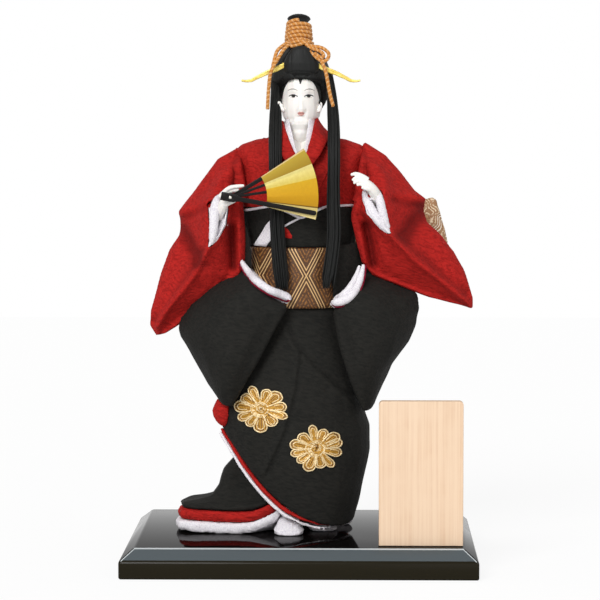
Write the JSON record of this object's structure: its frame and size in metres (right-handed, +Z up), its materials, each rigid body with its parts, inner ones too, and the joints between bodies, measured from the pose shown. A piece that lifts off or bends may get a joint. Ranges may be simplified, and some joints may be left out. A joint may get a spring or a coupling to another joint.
{
  "type": "japanese costume doll",
  "caption": "Standing costume doll in a slipped-off black kimono over red, with a folding fan that closes on its rivet, on a bevelled lacquer stand with a plain wooden plaque.",
  "frame": {"origin": "middle of the stand's underside", "axes": "+Z up, the doll faces -Y, its right hand with the fan is toward -X"},
  "size_m": [0.27, 0.225, 0.4251],
  "materials": {
    "black_lacquer": "black lacquer, gloss",
    "plaque_wood": "bare",
    "leg_wood": "bare",
    "screw_steel": "satin",
    "white_cloth": "matt",
    "red_crepe": "matt crepe",
    "black_crepe": "matt crepe",
    "brocade": "woven with gold thread",
    "white_gofun": "satin",
    "hair": "silky",
    "gold_cord": "twisted",
    "gold_pin": "satin",
    "gold_leaf": "gilt",
    "fan_lacquer": "black lacquer",
    "straw": "bound straw"
  },
  "bodies": {
    "doll": {"base_board": "black_lacquer", "leg_right": "leg_wood", "leg_left": "leg_wood", "leg_screw_right": "screw_steel", "leg_screw_left": "screw_steel", "tabi_right": "white_cloth", "tabi_left": "white_cloth", "skirt_hem_white": "white_cloth", "train_hem_white": "white_cloth", "inner_collar": "white_cloth", "waist_piping": "white_cloth", "sleeve_lining_right": "white_cloth", "sleeve_lining_left": "white_cloth", "lowered_cuff_right": "white_cloth", "lowered_cuff_left": "white_cloth", "skirt_hem_red": "red_crepe", "train_hem_red": "red_crepe", "bodice": "red_crepe", "outer_collar": "red_crepe", "sleeve_right": "red_crepe", "sleeve_left": "red_crepe", "lining_flap": "red_crepe", "skirt": "black_crepe", "train": "black_crepe", "waist_band": "black_crepe", "lowered_sleeve_right": "black_crepe", "lowered_sleeve_left": "black_crepe", "obi": "brocade", "obi_knot": "brocade", "obi_tail": "brocade", "obi_loop_left": "brocade", "obi_loop_right": "brocade", "bust": "white_gofun", "hand_right": "white_gofun", "hand_left": "white_gofun", "fan_rivet": "gold_pin", "fan_guard_front": "fan_lacquer", "skirt_form": "straw", "body_core": "straw", "arm_right": "straw", "arm_left": "straw"},
    "fan_rib_1": {"fan_rib_1": "fan_lacquer", "fan_leaf_1": "gold_leaf"},
    "fan_rib_2": {"fan_rib_2": "fan_lacquer", "fan_leaf_2": "gold_leaf"},
    "fan_guard_rear": {"fan_guard_rear": "fan_lacquer", "fan_leaf_3": "gold_leaf"},
    "head": {"head": "white_gofun", "hair_cap": "hair", "front_hair_roll": "hair", "hair_pin_right": "gold_pin", "hair_pin_left": "gold_pin", "topknot": "hair", "topknot_cord": "gold_cord", "cord_tail_right": "gold_cord", "cord_tail_left": "gold_cord", "cord_bow": "gold_cord", "side_lock_right": "hair", "side_lock_left": "hair"},
    "plaque": {"name_plaque": "plaque_wood"}
  },
  "joints": [
    {"name": "fan_fold_1", "type": "hinge", "parent": "doll", "child": "fan_rib_1", "pos_m": [-0.053, -0.0508, 0.284], "axis": [0, 1, 0], "range_deg": [0, 17.5], "deforming": ["fan_leaf_1"]},
    {"name": "fan_fold_2", "type": "hinge", "parent": "fan_rib_1", "child": "fan_rib_2", "pos_m": [-0.053, -0.0508, 0.284], "axis": [0, 1, 0], "range_deg": [0, 10.6], "deforming": ["fan_leaf_2"]},
    {"name": "fan_fold_3", "type": "hinge", "parent": "fan_rib_2", "child": "fan_guard_rear", "pos_m": [-0.053, -0.0508, 0.284], "axis": [0, 1, 0], "range_deg": [0, 10], "deforming": ["fan_leaf_3"]},
    {"name": "head_turn", "type": "hinge", "parent": "doll", "child": "head", "pos_m": [0, 0.002, 0.3225], "axis": [0, 0, 1], "range_deg": [-12, 12], "deforming": ["side_lock_right", "side_lock_left"]},
    {"name": "plaque_lift", "type": "slide", "parent": "doll", "child": "plaque", "axis": [0, 0, 1], "range_m": [0, 0.12]}
  ],
  "couplings": [
    {"joint": "fan_fold_2", "follows": "fan_fold_1", "ratio": 0.6},
    {"joint": "fan_fold_3", "follows": "fan_fold_1", "ratio": 0.5657}
  ]
}
